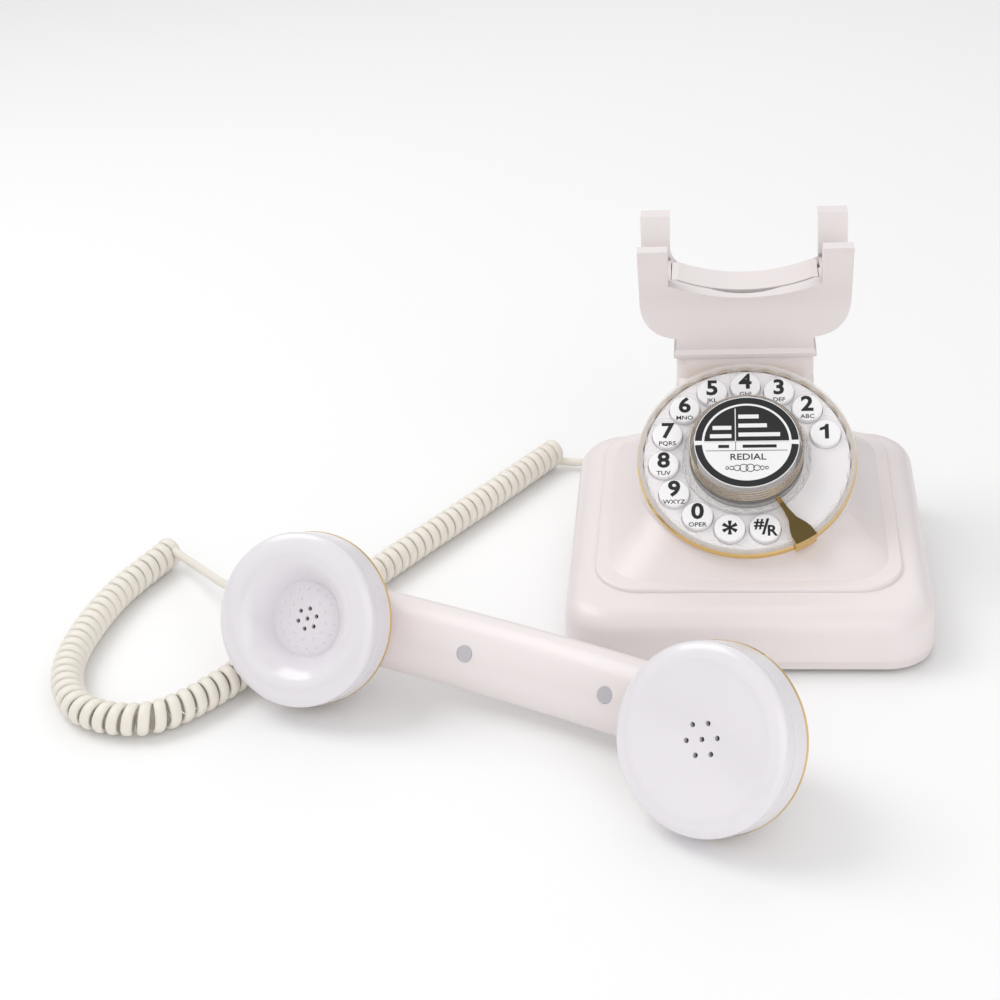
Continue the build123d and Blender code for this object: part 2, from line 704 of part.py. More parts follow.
# ------------------------------------------------------------------------------------------
# handset, drawn in its own frame
# ------------------------------------------------------------------------------------------
def turned_cap(face, back):
    """Cap turned from a smooth front curve and a straight-sided rim; both lists run outwards and back."""
    rim = [
        face[-1],
        (CAP_RADIUS, -GROOVE_DEPTH),
        (CAP_RADIUS - 0.7, -GROOVE_DEPTH - 0.3),
        (CAP_RADIUS - 0.7, -GROOVE_DEPTH - 0.8),
        (CAP_RADIUS, -GROOVE_DEPTH - 1.1),
        (CAP_RADIUS, -CAP_DEPTH),
        (COLLAR_RADIUS + 0.3, -CAP_DEPTH),
        (COLLAR_RADIUS + 0.3, -5.2),
    ]
    with BuildSketch(Plane.XZ) as sketch:
        with BuildLine():
            Spline(*face, tangents=((0.3, 1) if face[0][0] > 0 else (1, 0), (0, -1)))
            Polyline(*rim, *back, face[0])
        make_face()
    return revolve(sketch.sketch, Axis.Z)


def sound_holes(radius, circle, turn, low, high):
    """One hole in the middle and six around it."""
    holes = disc(radius, low, high)
    for index in range(6):
        holes = holes + Rot(0, 0, turn + index * 60) * Pos(circle, 0, 0) * disc(radius, low, high)
    return holes


def mouthpiece_cap():
    """Horn-shaped mouthpiece: a rounded lip round a deep bowl with sound holes in its flat floor."""
    lip = [
        (BOWL_FLOOR_RADIUS, BOWL_FLOOR_Z),
        (15.4, -5.6),
        (18.8, -1.3),
        (22.6, 0.9),
        (26.4, 0.9),
        (30.0, -0.3),
        (CAP_RADIUS, -2.6),
    ]
    back = BOWL_FLOOR_Z - BOWL_WALL
    cap = turned_cap(lip, [(21.0, -5.2), (16.0, back), (0, back), (0, BOWL_FLOOR_Z)])
    cap = cap - sound_holes(0.8, 3.8, 25, back - 1, BOWL_FLOOR_Z + 1)
    for count, circle in DIMPLE_RINGS:
        for index in range(count):
            dimple = Pos(circle, 0, BOWL_FLOOR_Z + 0.45) * Sphere(0.8)
            cap = cap - Rot(0, 0, index * 360 / count) * dimple
    return on_handset(head_place(-1) * cap)


def earpiece_cap():
    """Earpiece: a rounded rim round a shallow dish with sound holes."""
    dish = [(0, -2.6), (9, -2.2), (16, -1.2), (22, 0.1), (26.5, 0.6), (30.0, -0.5), (CAP_RADIUS, -2.6)]
    cap = turned_cap(dish, [(20, -4.6), (0, -4.6)])
    return on_handset(head_place(1) * (cap - sound_holes(0.9, 5.6, 19, -8, 1)))


def trim_ring(side):
    """Thin bright ring between a cap and its head."""
    band = ring(CAP_RADIUS + 0.15, COLLAR_RADIUS + 0.1, -CAP_DEPTH - TRIM_DEPTH + 0.05, -CAP_DEPTH - 0.02)
    return on_handset(head_place(side) * band)


def head_form(inset):
    """Rounded back of a head, from the trim ring to its crown."""
    top = -CAP_DEPTH - TRIM_DEPTH
    r = CAP_RADIUS - inset
    crown = HEAD_CROWN + inset
    with BuildSketch(Plane.XZ) as sketch:
        with BuildLine():
            Line((0, top), (r, top))
            Spline(
                (r, top),
                (r - 3.4, top - 6.0),
                (r - 7.6, top - 13.5),
                (r - 16.5, top - 23.5),
                (0, crown),
                tangents=((-0.35, -1), (-1, 0)),
            )
            Line((0, crown), (0, top))
        make_face()
    return revolve(sketch.sketch, Axis.Z)


def grip_spine():
    """Centre line of the grip, an arc that bows away from the faces."""
    reach = HALF_SPAN - 6
    return ThreePointArc((-reach, 0, GRIP_LEVEL), (0, 0, GRIP_LEVEL - GRIP_ARCH), (reach, 0, GRIP_LEVEL))


def grip_form(inset):
    """Oval bar between the two heads."""
    spine = grip_spine()
    section = Plane(origin=spine @ 0, x_dir=(0, 1, 0), z_dir=spine % 0)
    oval = section * Ellipse(GRIP_HALF_WIDTH - inset, GRIP_HALF_THICK - inset)
    return sweep(oval, path=spine)


def above_spine():
    """Everything on the face side of the grip's centre line."""
    reach = HALF_SPAN - 6
    with BuildSketch(Plane.XZ) as sketch:
        with BuildLine():
            ThreePointArc((-reach, GRIP_LEVEL), (0, GRIP_LEVEL - GRIP_ARCH), (reach, GRIP_LEVEL))
            Polyline((reach, GRIP_LEVEL), (reach, 20), (-reach, 20), (-reach, GRIP_LEVEL))
        make_face()
    return extrude(sketch.sketch, 30, both=True)


def head_keepout():
    """Both heads as solids, used to end the grip's cover against them."""
    top = -CAP_DEPTH - TRIM_DEPTH
    solids = head_place(-1) * head_form(-0.15) + head_place(1) * head_form(-0.15)
    for side in (-1, 1):
        solids = solids + head_place(side) * disc(CAP_RADIUS + 0.5, top, 10)
    return solids


def plug_place(side):
    """Where a screw plug sits on the face side of the grip."""
    along = PLUG_SHIFT + side * PLUG_SPREAD
    arch = GRIP_ARCH * (along / (HALF_SPAN - 6)) ** 2
    return Pos(along, 0, GRIP_LEVEL - GRIP_ARCH + arch)


def handset_back():
    """Rear half of the handset: both heads and the back of the grip."""
    body = head_place(-1) * head_form(0) + head_place(1) * head_form(0)
    rear = grip_form(0) - above_spine()
    body = body + rear
    top = -CAP_DEPTH - TRIM_DEPTH
    for side in (-1, 1):
        body = body - head_place(side) * head_form(HEAD_WALL)
    body = body - (grip_form(HEAD_WALL) - above_spine())
    body = body - (grip_form(HEAD_WALL) & above_spine() & block(-HALF_SPAN, HALF_SPAN, -20, 20, -50, top))
    for side in (-1, 1):
        collar = ring(COLLAR_RADIUS, COLLAR_RADIUS - 2, top - 3, -6.0)
        flange = ring(CAP_RADIUS - 1, COLLAR_RADIUS - 2, top - 2, top)
        body = body + head_place(side) * (collar + flange)
        boss = plug_place(side) * ring(3.0, 1.0, -GRIP_HALF_THICK + 1.5, -0.2)
        body = body + boss
    jack = Pos(HEEL_X, 0, HEEL_LEVEL)
    body = body - jack * block(-10, 12, -4.7, 4.7, -4.2, 4.2)
    return on_handset(body)


def handset_cover():
    """Face side of the grip, with two recesses for the screw plugs."""
    cover = (grip_form(0) & above_spine()) - grip_form(HEAD_WALL) - head_keepout()
    cover = Pos(0, 0, 0.08) * cover
    for side in (-1, 1):
        place = plug_place(side)
        cover = cover + place * disc(4.2, 2.5, GRIP_HALF_THICK - 1)
        cover = cover - place * disc(PLUG_RADIUS + 0.05, GRIP_HALF_THICK - 2.0, 12)
        cover = cover - place * disc(1.3, 0, 12)
    return on_handset(max(cover.solids(), key=lambda s: s.volume))


def screw_plugs():
    """Two round plugs over the grip's screws."""
    plugs = []
    for side in (-1, 1):
        plug = disc(PLUG_RADIUS, GRIP_HALF_THICK - 2.0, GRIP_HALF_THICK + 0.25)
        plug = fillet(plug.faces().sort_by(Axis.Z)[-1].edges(), 0.3)
        plugs.append(on_handset(plug_place(side) * plug))
    return plugs


def handset_screws():
    """Two screws that hold the cover to the back of the grip."""
    shank = disc(0.95, -5.0, 6.0)
    return [on_handset(plug_place(side) * shank) for side in (-1, 1)]


def handset_weight():
    """Steel bar inside the grip that gives the handset its heft."""
    bar = block(-17, 17, -5, 5, GRIP_LEVEL - GRIP_ARCH - 3.5, GRIP_LEVEL - GRIP_ARCH + 3.5)
    return on_handset(fillet(bar.edges().filter_by(Axis.X), 1.5))


def microphone():
    """Electret capsule on its holder behind the mouthpiece's sound holes."""
    top = BOWL_FLOOR_Z - BOWL_WALL - 0.05
    capsule = disc(4.9, top - 6, top)
    holder = ring(COLLAR_RADIUS - 2.05, 4.9, -14.5, -13.2)
    return on_handset(head_place(-1) * (capsule + holder))


def earpiece_speaker():
    """Receiver capsule behind the earpiece's sound holes."""
    capsule = spin([(0, -4.7), (17, -4.7), (17, -8), (11, -13), (0, -13)])
    holder = ring(COLLAR_RADIUS - 2.05, 17, -8, -6.6)
    return on_handset(head_place(1) * (capsule + holder))


def handset_cord_jack():
    """Socket for the coiled cord in the heel of the mouthpiece head."""
    place = Pos(HEEL_X, 0, HEEL_LEVEL)
    body = block(-4.5, 11.5, -4.6, 4.6, -4.1, 4.1) - block(-6, 7.5, -3.6, 3.6, -3.1, 3.1)
    return on_handset(place * body)


# ------------------------------------------------------------------------------------------
# cord
# ------------------------------------------------------------------------------------------
def base_plug():
    """Modular plug at the base, with the moulded sleeve where the lead leaves it."""
    x, _, z = BASE_JACK
    body = block(x - 3.4, x + 3.4, 58.5, 70, z - 2.9, z + 2.9)
    sleeve = Pos(x, 73, z) * Rot(-90, 0, 0) * Cone(3.4, LEAD_RADIUS + 0.4, 6)
    return body + sleeve


def handset_plug():
    """Modular plug at the handset, with its moulded sleeve."""
    place = Pos(HEEL_X, 0, HEEL_LEVEL)
    body = block(-7.5, 6.5, -3.4, 3.4, -2.9, 2.9)
    sleeve = Pos(-10.4, 0, 0) * Rot(0, -90, 0) * Cone(3.4, LEAD_RADIUS + 0.4, 6)
    return on_handset(place * (body + sleeve))


def tube(points, radius, start_tangent, end_tangent):
    """Round rod along a smooth curve."""
    path = Spline(*points, tangents=(start_tangent, end_tangent))
    section = Plane(origin=path @ 0, z_dir=path % 0) * Circle(radius)
    return sweep(section, path=path)


def coiled_cord():
    """The cord's outer envelope: a straight lead, the coiled stretch on the table, a straight lead."""
    x, _, z = BASE_JACK
    coil_path = [
        (-84, 106, CORD_Z),
        (-144, 4, CORD_Z),
        (-176, -53, CORD_Z),
        (-192, -85.5, CORD_Z),
        (-214, -107, CORD_Z),
        (-241, -100, CORD_Z),
        (-254, -70, CORD_Z),
        (-251, -24, CORD_Z),
        (-237, 17, CORD_Z),
    ]
    coil = tube(coil_path, COIL_RADIUS, (-0.55, -0.84, 0), (0.4, 0.9, 0))
    base_lead = tube([(x, 76.1, z), (-50, 96, 8), (-86, 103, CORD_Z)], LEAD_RADIUS, (0, 1, 0), (-1, 0, 0))
    plug_end = HANDSET.from_local_coords(Vector(HEEL_X - 13.5, 0, HEEL_LEVEL))
    far_path = [(-238, 13, CORD_Z + 1), (-220, -8, 12), (-203, -32, 19), plug_end]
    far_lead = tube(far_path, LEAD_RADIUS, (0.7, -0.6, 0.2), HANDSET.x_dir)
    return coil + base_lead + far_lead


# ------------------------------------------------------------------------------------------
# write every piece
# ------------------------------------------------------------------------------------------
def pieces():
    """Every named piece of the phone."""
    named = {
        "base_shell": base_shell(),
        "base_plate": base_plate(),
        "rubber_feet": rubber_feet(),
        "plate_screws": plate_screws(),
        "ballast_weight": ballast_weight(),
        "main_board": main_board(),
        "board_screws": board_screws(),
        "ringer_speaker": ringer_speaker(),
        "line_jack": line_jack(),
        "handset_jack": handset_jack(),
        "ringer_switch_body": slide_switch_housing(-1),
        "tone_switch_body": slide_switch_housing(1),
        "ringer_switch": slide_switch_knob(-1),
        "tone_switch": slide_switch_knob(1),
        "dial_cup": dial_cup(),
        "keypad_board": keypad_board(),
        "keypad_mat": keypad_mat(),
        "dial_plate": dial_plate(),
        "finger_wheel": finger_wheel(),
        "hub_collar": hub_collar(),
        "redial_button": redial_button(),
        "label_card": label_card(),
        "hub_plunger": hub_plunger(),
        "dial_bezel": dial_bezel(),
        "finger_stop": finger_stop(),
        "cradle_housing": cradle_housing(),
        "hook_bracket": hook_bracket(),
        "hook_switch": hook_switch(),
        "hook_saddle": hook_saddle(),
        "hook_spring": hook_spring(),
        "handset_back": handset_back(),
        "handset_cover": handset_cover(),
        "mouthpiece_cap": mouthpiece_cap(),
        "earpiece_cap": earpiece_cap(),
        "mouthpiece_ring": trim_ring(-1),
        "earpiece_ring": trim_ring(1),
        "screw_plugs": screw_plugs(),
        "handset_screws": handset_screws(),
        "handset_weight": handset_weight(),
        "microphone": microphone(),
        "earpiece_speaker": earpiece_speaker(),
        "handset_cord_jack": handset_cord_jack(),
        "base_plug": base_plug(),
        "handset_plug": handset_plug(),
        "coiled_cord": coiled_cord(),
    }
    for index, name in enumerate(BUTTON_NAMES):
        named["button_" + name] = push_button(index)
    return named


os.makedirs("parts", exist_ok=True)
for name, shape in pieces().items():
    solid = Compound(children=list(shape)) if isinstance(shape, list) else shape
    export_step(solid, "parts/" + name + ".step")
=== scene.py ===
"""Looks of a French-style cradle telephone: finishes, coiled cord, dial printing and studio."""

from math import cos, pi, radians, sin

import bpy
from mathutils import Matrix, Vector


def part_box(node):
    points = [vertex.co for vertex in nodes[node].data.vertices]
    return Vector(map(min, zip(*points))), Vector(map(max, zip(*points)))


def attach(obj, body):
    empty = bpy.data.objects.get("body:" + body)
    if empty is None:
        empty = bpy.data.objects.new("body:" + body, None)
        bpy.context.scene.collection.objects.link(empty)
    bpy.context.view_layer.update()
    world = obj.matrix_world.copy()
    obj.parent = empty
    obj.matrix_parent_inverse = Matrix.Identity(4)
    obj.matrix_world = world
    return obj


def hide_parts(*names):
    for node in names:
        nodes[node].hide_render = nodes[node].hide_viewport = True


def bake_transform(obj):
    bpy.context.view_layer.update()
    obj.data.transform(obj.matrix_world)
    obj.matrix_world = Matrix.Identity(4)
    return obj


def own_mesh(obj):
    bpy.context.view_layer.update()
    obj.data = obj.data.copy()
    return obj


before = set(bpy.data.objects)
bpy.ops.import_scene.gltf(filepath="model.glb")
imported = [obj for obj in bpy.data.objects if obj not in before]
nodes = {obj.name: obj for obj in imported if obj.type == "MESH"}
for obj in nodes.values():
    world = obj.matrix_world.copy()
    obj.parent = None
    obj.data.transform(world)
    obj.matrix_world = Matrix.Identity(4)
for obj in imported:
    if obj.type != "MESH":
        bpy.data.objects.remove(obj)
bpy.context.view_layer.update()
MM = 0.001

# --- finishes -----------------------------------------------------------------------------
IVORY = (0.815, 0.752, 0.748)
COOL_WHITE = (0.790, 0.760, 0.795)
CORD_CREAM = (0.830, 0.785, 0.710)
GOLD = (0.760, 0.540, 0.210)
PRINT_BLACK = (0.010, 0.010, 0.012)
# Painted shade: how far ambient occlusion reaches, and the dark brown it mixes into the cradle's colour in
# gaps and its trough.
PAINTED_SHADE_REACH = 0.016
PAINTED_SHADE_COLOUR = (0.10, 0.06, 0.055)
ACRYLIC_IOR = 1.49

# --- dial frame, as the CAD places it --------------------------------------------------------
DIAL_SLOPE = radians(33.8)
DIAL_CENTRE = Vector((0.0, -7.9, 59.1)) * MM
DIAL_UP = Vector((0.0, cos(DIAL_SLOPE), sin(DIAL_SLOPE)))
DIAL_OUT = Vector((0.0, -sin(DIAL_SLOPE), cos(DIAL_SLOPE)))
SCALLOP_DEPTH = 1.1
RIM_ALPHA = 0.34
EDGE_LINE = (0.42, 0.40, 0.38)
EDGE_LINE_HALF = 0.16


# ------------------------------------------------------------------------------------------
# material helpers
# ------------------------------------------------------------------------------------------
def new_material(name):
    """Empty node material with its principled shader and output linked."""
    material = bpy.data.materials.new(name)
    material.use_nodes = True
    tree = material.node_tree
    tree.nodes.clear()
    output = tree.nodes.new("ShaderNodeOutputMaterial")
    shader = tree.nodes.new("ShaderNodeBsdfPrincipled")
    tree.links.new(shader.outputs["BSDF"], output.inputs["Surface"])
    return material, tree, shader


def noise(tree, scale, detail=3.0, stretch=(1, 1, 1)):
    """Noise factor in object space."""
    coords = tree.nodes.new("ShaderNodeTexCoord")
    mapping = tree.nodes.new("ShaderNodeMapping")
    mapping.inputs["Scale"].default_value = stretch
    texture = tree.nodes.new("ShaderNodeTexNoise")
    texture.inputs["Scale"].default_value = scale
    texture.inputs["Detail"].default_value = detail
    tree.links.new(coords.outputs["Object"], mapping.inputs["Vector"])
    tree.links.new(mapping.outputs["Vector"], texture.inputs["Vector"])
    return texture.outputs["Fac"]


def spread(tree, factor, low, high):
    """Map a factor onto a range of values."""
    remap = tree.nodes.new("ShaderNodeMapRange")
    remap.inputs["To Min"].default_value = low
    remap.inputs["To Max"].default_value = high
    tree.links.new(factor, remap.inputs["Value"])
    return remap.outputs["Result"]


def math_node(tree, operation, first, second=None):
    """Result of a math node; inputs are sockets or plain values."""
    node = tree.nodes.new("ShaderNodeMath")
    node.operation = operation
    for slot, value in enumerate((first, second)):
        if isinstance(value, (int, float)):
            node.inputs[slot].default_value = value
        elif value is not None:
            tree.links.new(value, node.inputs[slot])
    return node.outputs["Value"]


def tint(tree, factor, colour, change):
    """Colour that drifts a little around a base colour."""
    ramp = tree.nodes.new("ShaderNodeValToRGB")
    ramp.color_ramp.elements[0].position = 0.35
    ramp.color_ramp.elements[1].position = 0.65
    ramp.color_ramp.elements[0].color = (*[c * (1 - change) for c in colour], 1)
    ramp.color_ramp.elements[1].color = (*[min(1, c * (1 + change)) for c in colour], 1)
    tree.links.new(factor, ramp.inputs["Fac"])
    return ramp.outputs["Color"]


def bump(tree, shader, factor, strength, distance):
    """Fine relief from a factor."""
    node = tree.nodes.new("ShaderNodeBump")
    node.inputs["Strength"].default_value = strength
    node.inputs["Distance"].default_value = distance
    tree.links.new(factor, node.inputs["Height"])
    tree.links.new(node.outputs["Normal"], shader.inputs["Normal"])


def plastic(name, colour, rough, grain=900.0, relief=0.05, drift=0.012, coat=0.0):
    """Moulded plastic: slight colour drift, uneven polish and a fine grain."""
    material, tree, shader = new_material(name)
    tree.links.new(tint(tree, noise(tree, 18.0), colour, drift), shader.inputs["Base Color"])
    tree.links.new(spread(tree, noise(tree, 55.0), rough * 0.9, rough * 1.12), shader.inputs["Roughness"])
    bump(tree, shader, noise(tree, grain, 2.0), relief, 0.0002)
    shader.inputs["Coat Weight"].default_value = coat
    shader.inputs["Coat Roughness"].default_value = 0.08
    return material


def plastic_with_painted_shade(name, colour, rough):
    """Moulded plastic with painted shade: ambient occlusion darkens the base colour inside narrow gaps,
    standing in for the shade in the cradle's deep trough.
    """
    material = plastic(name, colour, rough, relief=0.06, coat=0.15)
    tree = material.node_tree
    shader = next(n for n in tree.nodes if n.type == "BSDF_PRINCIPLED")
    base = shader.inputs["Base Color"].links[0].from_socket
    # Painted shade: the colour is pulled towards dark brown where ambient occlusion finds nearby surfaces.
    gap = tree.nodes.new("ShaderNodeAmbientOcclusion")
    gap.inputs["Distance"].default_value = PAINTED_SHADE_REACH
    gap.samples = 6
    dark = tree.nodes.new("ShaderNodeMix")
    dark.data_type = "RGBA"
    dark.inputs["A"].default_value = (*PAINTED_SHADE_COLOUR, 1)
    openness = math_node(tree, "POWER", gap.outputs["AO"], 0.8)
    tree.links.new(spread(tree, openness, -0.4, 1.05), dark.inputs["Factor"])
    tree.links.new(base, dark.inputs["B"])
    tree.links.new(dark.outputs["Result"], shader.inputs["Base Color"])
    return material


def flat_plastic(name, colour, rough):
    """Moulded plastic whose flat face keeps its exact facing, for plates with many holes."""
    material, tree, shader = new_material(name)
    geometry = tree.nodes.new("ShaderNodeNewGeometry")
    tree.links.new(geometry.outputs["True Normal"], shader.inputs["Normal"])
    tree.links.new(tint(tree, noise(tree, 18.0), colour, 0.01), shader.inputs["Base Color"])
    tree.links.new(spread(tree, noise(tree, 55.0), rough * 0.9, rough * 1.12), shader.inputs["Roughness"])
    return material


def metal(name, colour, rough, stretch=(1, 1, 1), relief=0.02):
    """Metal with fine drawn lines and uneven polish."""
    material, tree, shader = new_material(name)
    tree.links.new(tint(tree, noise(tree, 40.0), colour, 0.03), shader.inputs["Base Color"])
    polish = spread(tree, noise(tree, 160.0, 3.0, stretch), rough * 0.8, rough * 1.3)
    tree.links.new(polish, shader.inputs["Roughness"])
    shader.inputs["Metallic"].default_value = 1.0
    bump(tree, shader, noise(tree, 700.0, 2.0, stretch), relief, 0.0001)
    return material


def dial_coordinate(tree, axis):
    """Distance from the dial's centre along an axis, in millimetres."""
    geometry = tree.nodes.new("ShaderNodeNewGeometry")
    offset = tree.nodes.new("ShaderNodeVectorMath")
    offset.operation = "SUBTRACT"
    offset.inputs[1].default_value = DIAL_CENTRE
    tree.links.new(geometry.outputs["Position"], offset.inputs[0])
    along = tree.nodes.new("ShaderNodeVectorMath")
    along.operation = "DOT_PRODUCT"
    along.inputs[1].default_value = axis / MM
    tree.links.new(offset.outputs["Vector"], along.inputs[0])
    return along.outputs["Value"]


def clear(name, colour, rough, alpha, edge_radius=None, scallops=30):
    """Clear acrylic drawn as a glossy see-through coat; past edge_radius it is a cut, scalloped rim."""
    material, tree, shader = new_material(name)
    geometry = tree.nodes.new("ShaderNodeNewGeometry")
    tree.links.new(geometry.outputs["True Normal"], shader.inputs["Normal"])
    tree.links.new(spread(tree, noise(tree, 80.0), rough * 0.8, rough * 1.3), shader.inputs["Roughness"])
    shader.inputs["IOR"].default_value = ACRYLIC_IOR
    if edge_radius is None:
        tree.links.new(tint(tree, noise(tree, 30.0), colour, 0.01), shader.inputs["Base Color"])
        shader.inputs["Alpha"].default_value = alpha
        return material
    across = dial_coordinate(tree, Vector((1, 0, 0)))
    up = dial_coordinate(tree, DIAL_UP)
    across_squared = math_node(tree, "MULTIPLY", across, across)
    up_squared = math_node(tree, "MULTIPLY", up, up)
    radius = math_node(tree, "SQRT", math_node(tree, "ADD", across_squared, up_squared))
    angle = math_node(tree, "ARCTAN2", up, across)
    swing = math_node(tree, "SINE", math_node(tree, "MULTIPLY", angle, scallops / 2))
    depth = math_node(tree, "MULTIPLY", math_node(tree, "ABSOLUTE", swing), SCALLOP_DEPTH)
    line = math_node(tree, "ADD", edge_radius, depth)
    in_rim = math_node(tree, "GREATER_THAN", radius, line)
    off_line = math_node(tree, "ABSOLUTE", math_node(tree, "SUBTRACT", radius, line))
    on_line = math_node(tree, "LESS_THAN", off_line, EDGE_LINE_HALF)
    rim_alpha = math_node(tree, "MULTIPLY", in_rim, RIM_ALPHA)
    tree.links.new(math_node(tree, "MAXIMUM", rim_alpha, alpha), shader.inputs["Alpha"])
    mix = tree.nodes.new("ShaderNodeMix")
    mix.data_type = "RGBA"
    tree.links.new(on_line, mix.inputs["Factor"])
    tree.links.new(tint(tree, noise(tree, 30.0), colour, 0.01), mix.inputs["A"])
    mix.inputs["B"].default_value = (*EDGE_LINE, 1)
    tree.links.new(mix.outputs["Result"], shader.inputs["Base Color"])
    return material


def circuit(name):
    """Green solder resist with copper tracks."""
    material, tree, shader = new_material(name)
    tracks = tree.nodes.new("ShaderNodeTexBrick")
    coords = tree.nodes.new("ShaderNodeTexCoord")
    tracks.inputs["Scale"].default_value = 260.0
    tracks.inputs["Color1"].default_value = (0.03, 0.16, 0.05, 1)
    tracks.inputs["Color2"].default_value = (0.04, 0.20, 0.07, 1)
    tracks.inputs["Mortar"].default_value = (0.16, 0.32, 0.10, 1)
    tree.links.new(coords.outputs["Object"], tracks.inputs["Vector"])
    tree.links.new(tracks.outputs["Color"], shader.inputs["Base Color"])
    tree.links.new(spread(tree, noise(tree, 90.0), 0.35, 0.5), shader.inputs["Roughness"])
    bump(tree, shader, tracks.outputs["Fac"], 0.1, 0.0002)
    return material


body_plastic = plastic("body_plastic", IVORY, 0.34, relief=0.06, coat=0.15)
handset_plastic = plastic("handset_plastic", IVORY, 0.30, relief=0.05, coat=0.2)
cap_plastic = plastic("cap_plastic", COOL_WHITE, 0.20, relief=0.03, coat=0.4)
plate_plastic = flat_plastic("plate_plastic", (0.95, 0.92, 0.93), 0.35)
key_plastic = plastic("key_plastic", (0.94, 0.93, 0.94), 0.3, relief=0.02)
tray_plastic = plastic("tray_plastic", (0.78, 0.72, 0.71), 0.45, grain=1400.0, relief=0.12)
saddle_plastic = plastic("saddle_plastic", (0.80, 0.74, 0.735), 0.4, relief=0.08)
# The cradle's plastic, with painted shade in its gaps and trough.
cradle_plastic = plastic_with_painted_shade("cradle_plastic", IVORY, 0.34)
plug_grey = plastic("plug_grey", (0.50, 0.49, 0.52), 0.55, grain=1600.0, relief=0.1)
black_plastic = plastic("black_plastic", (0.02, 0.02, 0.022), 0.4, relief=0.1)
rubber = plastic("rubber", (0.055, 0.054, 0.053), 0.75, grain=1800.0, relief=0.2, drift=0.06)
mat_rubber = plastic("mat_rubber", (0.30, 0.30, 0.31), 0.7, grain=1500.0, relief=0.1)
card_white = plastic("card_white", (0.88, 0.88, 0.885), 0.5, grain=2200.0, relief=0.03)
print_ink = plastic("print_ink", PRINT_BLACK, 0.45, grain=2000.0, relief=0.02, drift=0.1)
print_white = plastic("print_white", (0.86, 0.86, 0.86), 0.45, grain=2000.0, relief=0.02)
cord_vinyl = plastic("cord_vinyl", CORD_CREAM, 0.42, grain=1300.0, relief=0.05, drift=0.02)
plug_body = plastic("plug_body", (0.70, 0.67, 0.62), 0.25, relief=0.02)
gold = metal("gold", GOLD, 0.09)
steel = metal("steel", (0.55, 0.55, 0.56), 0.3, stretch=(1, 1, 8), relief=0.08)
dark_steel = metal("dark_steel", (0.33, 0.33, 0.34), 0.45, stretch=(12, 1, 1), relief=0.15)
wheel_clear = clear("wheel_clear", (0.96, 0.95, 0.96), 0.05, 0.10, edge_radius=37.9)
hub_clear = clear("hub_clear", (0.90, 0.86, 0.84), 0.06, 0.16)
collar_clear = clear("collar_clear", (0.93, 0.92, 0.92), 0.06, 0.2, edge_radius=22.9)
# Painted reflection: brown metal standing in for the brown and gold that the hub's clear ridges reflect.
ridge_painted_reflection = metal("ridge_painted_reflection", (0.50, 0.42, 0.33), 0.25)
green_board = circuit("green_board")

FINISHES = {
    "base_shell": body_plastic,
    "cradle_housing": cradle_plastic,
    "handset_back": handset_plastic,
    "handset_cover": handset_plastic,
    "mouthpiece_cap": cap_plastic,
    "earpiece_cap": cap_plastic,
    "base_plate": tray_plastic,
    "dial_cup": saddle_plastic,
    "hook_saddle": saddle_plastic,
    "dial_plate": plate_plastic,
    "hub_plunger": plate_plastic,
    "finger_wheel": wheel_clear,
    "hub_collar": collar_clear,
    "redial_button": hub_clear,
    "label_card": card_white,
    "dial_bezel": gold,
    "finger_stop": gold,
    "mouthpiece_ring": gold,
    "earpiece_ring": gold,
    "rubber_feet": rubber,
    "keypad_mat": mat_rubber,
    "main_board": green_board,
    "keypad_board": green_board,
    "plate_screws": steel,
    "board_screws": steel,
    "handset_screws": steel,
    "hook_spring": steel,
    "ballast_weight": dark_steel,
    "handset_weight": dark_steel,
    "screw_plugs": plug_grey,
    "base_plug": plug_body,
    "handset_plug": plug_body,
    "coiled_cord": cord_vinyl,
    "ringer_speaker": black_plastic,
    "line_jack": black_plastic,
    "handset_jack": black_plastic,
    "ringer_switch_body": black_plastic,
    "tone_switch_body": black_plastic,
    "ringer_switch": black_plastic,
    "tone_switch": black_plastic,
    "hook_bracket": black_plastic,
    "hook_switch": black_plastic,
    "microphone": black_plastic,
    "earpiece_speaker": black_plastic,
    "handset_cord_jack": black_plastic,
}


def finish_nodes():
    """Give every CAD node its finish; the push buttons are the nodes not in the table."""
    for name, node in nodes.items():
        material = FINISHES.get(name, key_plastic)
        node.data.materials.clear()
        node.data.materials.append(material)


# ------------------------------------------------------------------------------------------
# drawn pieces
# ------------------------------------------------------------------------------------------
def mesh_piece(name, points, faces, material, smooth=True):
    """New mesh object from points and faces."""
    mesh = bpy.data.meshes.new(name)
    mesh.from_pydata([tuple(p) for p in points], [], faces)
    mesh.materials.append(material)
    mesh.polygons.foreach_set("use_smooth", [smooth] * len(mesh.polygons))
    mesh.update()
    piece = bpy.data.objects.new(name, mesh)
    bpy.context.scene.collection.objects.link(piece)
    return piece


def catmull(points, steps):
    """Smooth curve through points, as many short steps per span."""
    rail = [points[0] * 2 - points[1], *points, points[-1] * 2 - points[-2]]
    curve = []
    for i in range(1, len(rail) - 2):
        a, b, c, d = rail[i - 1], rail[i], rail[i + 1], rail[i + 2]
        for k in range(steps):
            t = k / steps
            curve.append(0.5 * (2 * b + (c - a) * t + (2 * a - 5 * b + 4 * c - d) * t * t
                                + (3 * b - a - 3 * c + d) * t * t * t))
    curve.append(points[-1])
    return curve


def even_steps(curve, gap):
    """Points at even distances along a curve."""
    out = [curve[0]]
    left = gap
    for a, b in zip(curve, curve[1:]):
        length = (b - a).length
        while length > left:
            a = a + (b - a) * (left / length)
            length = (b - a).length
            out.append(a.copy())
            left = gap
        left -= length
    return out


